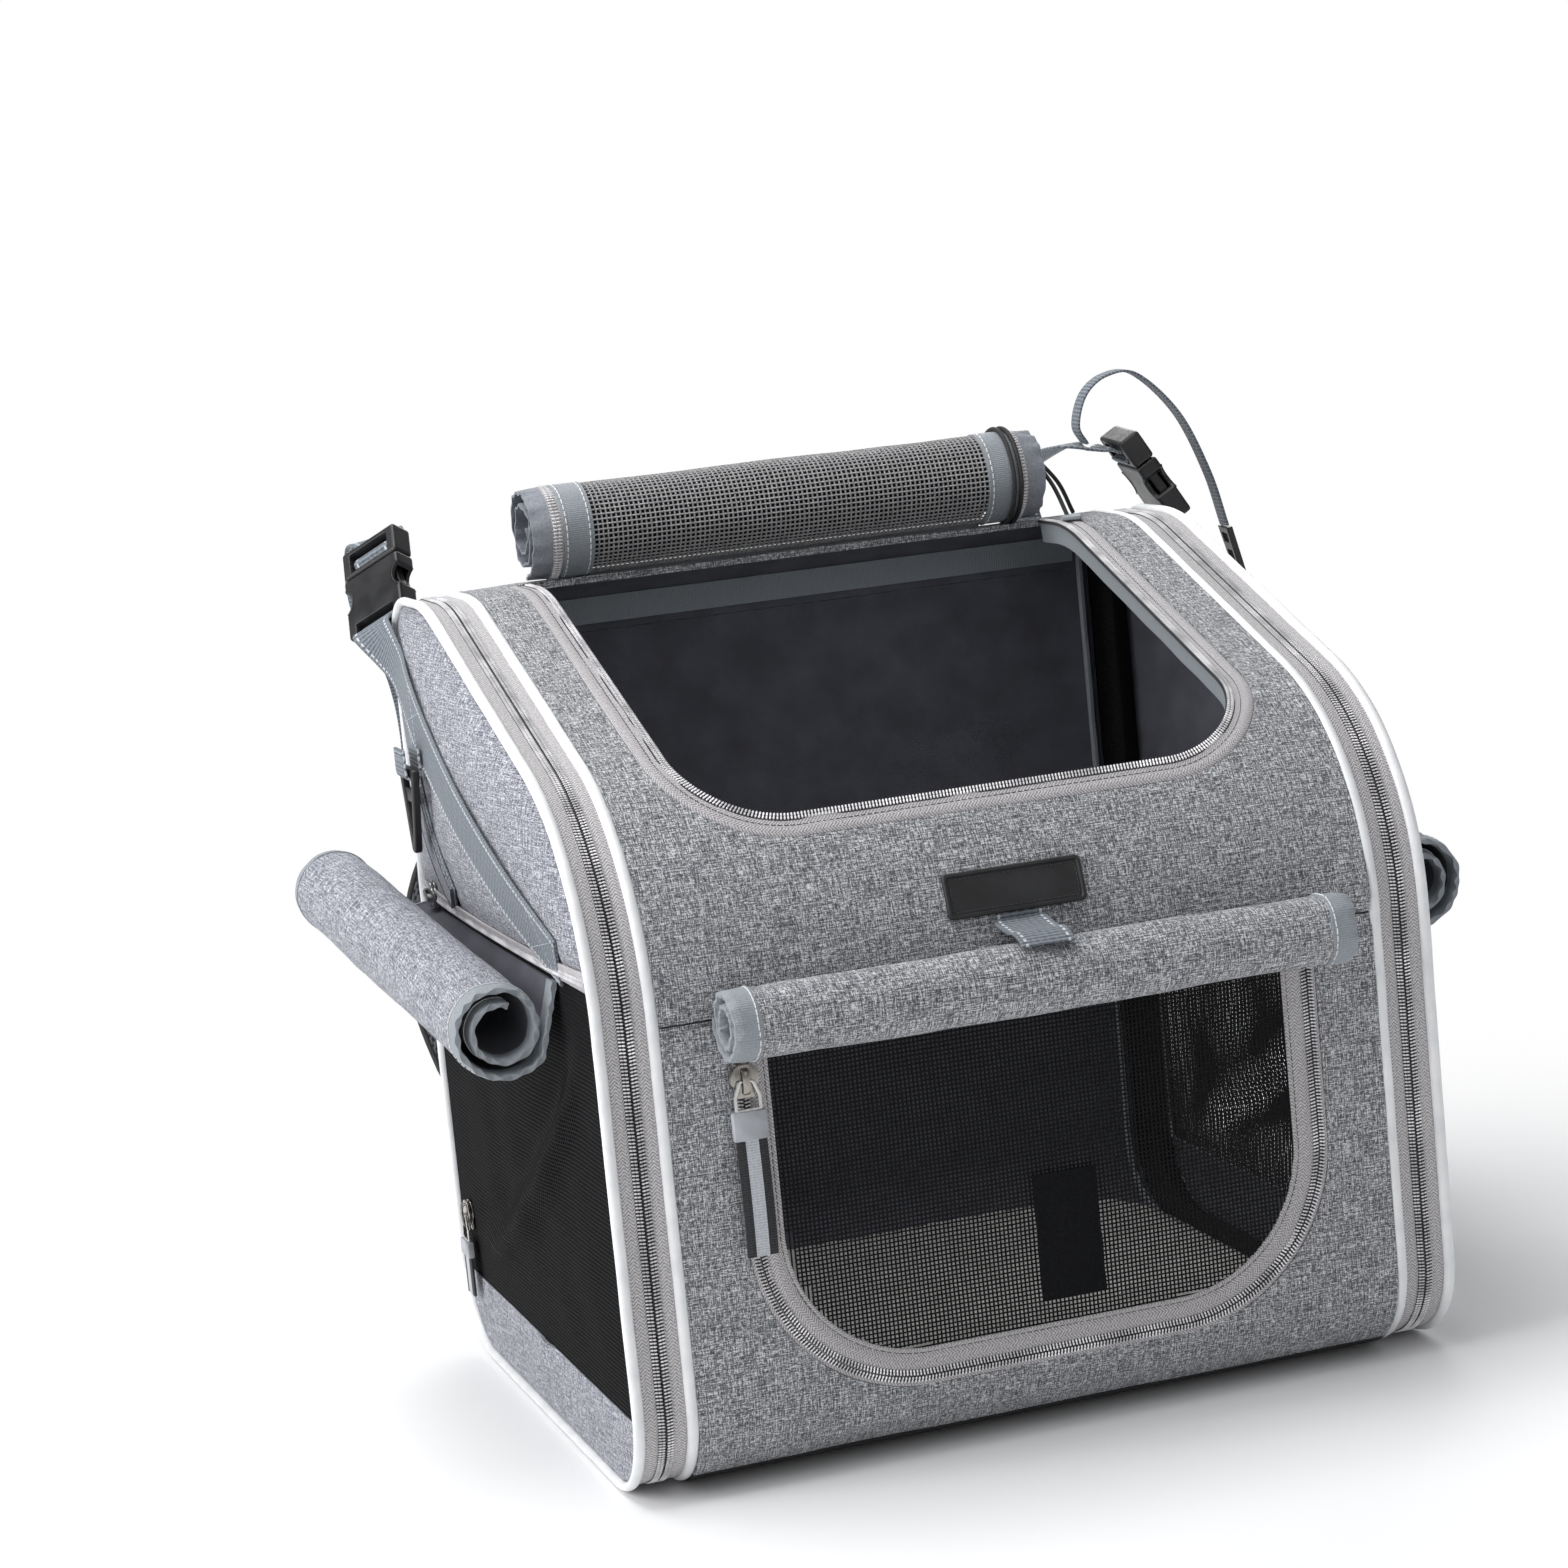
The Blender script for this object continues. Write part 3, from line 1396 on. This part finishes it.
def make_slider(name, matrix):
    """A top plate with a low bridge over it, in one piece."""
    count = len(slider_row_shares) - 1

    def slider_point(u, v):
        rise, length, width = slider_row_shares[round(v * count)]
        z = share(u, -1, 1) * slider_length / 2 * length
        x = slider_width / 2 * width
        y = -(slider_height + bridge_height) * rise
        return (x, y, z), (-x, y, z)

    mesh = grid_mesh(name, slider_along_shares, even(count), slider_point,
                     lambda i, j: not (i == 1 and j == 2))
    place(name, mesh, zinc).matrix_world = matrix


def make_pull(name, matrix, rows, finish):
    """A flat pull whose top bar passes under the slider's bridge. rows give z and halves."""
    pivot = -slider_height - (bridge_height - bridge_bar) / 2
    count = len(rows) - 1
    legs = pull_leg / pull_tag_width

    def pull_point(u, v):
        z, half_w, half_t = rows[round(v * count)]
        x = share(u, -half_w, half_w)
        return (x, -half_t, z), (x, half_t, z)

    mesh = grid_mesh(name, [0, legs, 1 - legs, 1], even(count), pull_point,
                     lambda i, j: not (i == 1 and j == 1))
    thing = place(name, mesh, finish)
    thing.matrix_world = matrix @ Matrix.Translation((0, pivot, 0))


def pull_rows(block_long, ribbon_long):
    tag_half = pull_tag_width / 2
    thin = pull_bar / 2
    rows = [(thin, tag_half, thin), (-thin, tag_half, thin),
            (-pull_tag_length * tag_hole_share, tag_half, thin), (-pull_tag_length, tag_half, thin)]
    z = -pull_tag_length - fit_gap
    for length, width, thickness in ((block_long, block_width, block_thickness),
                                     (ribbon_long, ribbon_width, ribbon_thickness)):
        rows += [(z, width / 2, thickness / 2), (z - length, width / 2, thickness / 2)]
        z -= length + fit_gap
    return rows


def make_sliders():
    x = -(doorway_half_width - doorway_tape_width - fit_gap)
    y = -half_depth + door_inset - coil_height - fit_gap
    front = slider_frame((x, y, slider_place), (1, 0, 0), (0, -1, 0))
    make_slider("front_slider", front)
    make_pull("front_pull", front, pull_rows(block_length, ribbon_length), blue_webbing)
    for side, word in ((-1, "left"), (1, "right")):
        y = half_depth * side_slider_shares[side]
        z, ribbon = side_slider_place[side]
        out = side_plane + net_puff_at(y, z) + fit_gap
        matrix = slider_frame((side * out, y, z), (0, side, 0), (side, 0, 0))
        make_slider(word + "_side_slider", matrix)
        short = block_length * short_block_share
        make_pull(word + "_side_pull", matrix, pull_rows(short, ribbon), rubber)


make_body_panels()
make_rims()
make_front()
make_top()
for basket_side, basket_word in ((-1, "left"), (1, "right")):
    make_side(basket_side, basket_word)
make_base()
for basket_side, basket_word in ((-1, "left"), (1, "right")):
    make_female(basket_side, basket_word)
    make_male(basket_side, basket_word)
    make_carry_webbing(basket_side, basket_word)
    make_bar_webbing(basket_side, basket_word)
    make_ring(basket_side, basket_word)
    make_shoulder(basket_side, basket_word)
make_tail()
make_sliders()
